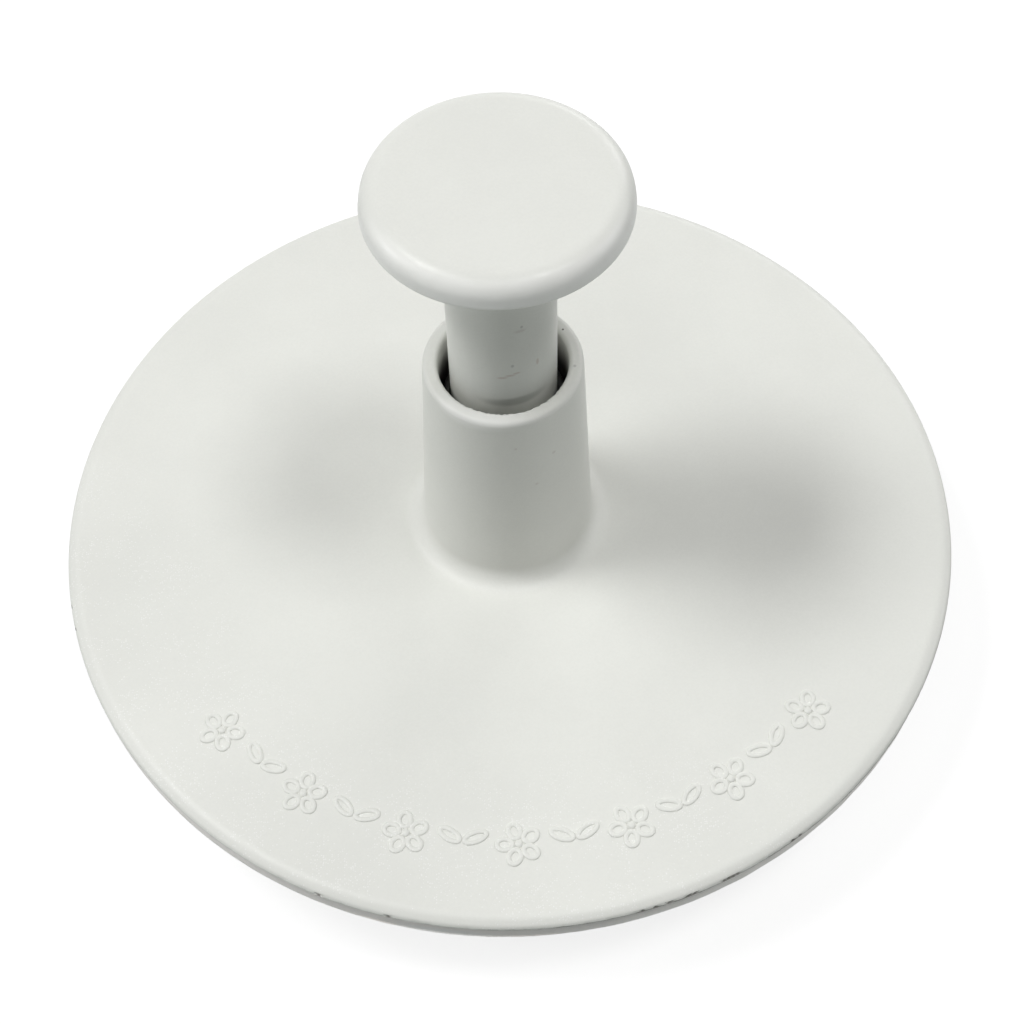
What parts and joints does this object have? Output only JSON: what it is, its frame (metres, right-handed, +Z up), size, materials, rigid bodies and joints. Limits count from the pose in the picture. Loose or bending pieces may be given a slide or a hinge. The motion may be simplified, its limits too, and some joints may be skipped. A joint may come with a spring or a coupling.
{
  "type": "plunger cutter",
  "caption": "Round-flanged plastic plunger cutter with a flower-shaped blade, a sprung thumb plunger in a tapered collar and a veined embossing plate.",
  "frame": {"origin": "on the plunger's axis, in the plane of the cutting edge, which is the lowest plane", "axes": "+Z up along the plunger's axis from the cutting edge to the thumb head; +X through the tip of one petal"},
  "size_m": [0.11, 0.11, 0.0754],
  "materials": {
    "body_plastic": "satin white injection moulding with a fine spark-eroded texture",
    "plunger_plastic": "satin white injection moulding, smoother on the stem",
    "embosser_plastic": "satin white injection moulding",
    "spring_steel": "drawn steel wire"
  },
  "bodies": {
    "cutter": {"cutter_body": "body_plastic", "spring": "spring_steel"},
    "press": {"plunger": "plunger_plastic", "embosser": "embosser_plastic"}
  },
  "joints": [
    {"name": "plunger_press", "type": "slide", "parent": "cutter", "child": "press", "axis": [0, 0, -1], "range_m": [0, 0.0099], "stiffness_N_per_m": 780, "springref_m": -0.005, "deforming": ["spring"]}
  ]
}
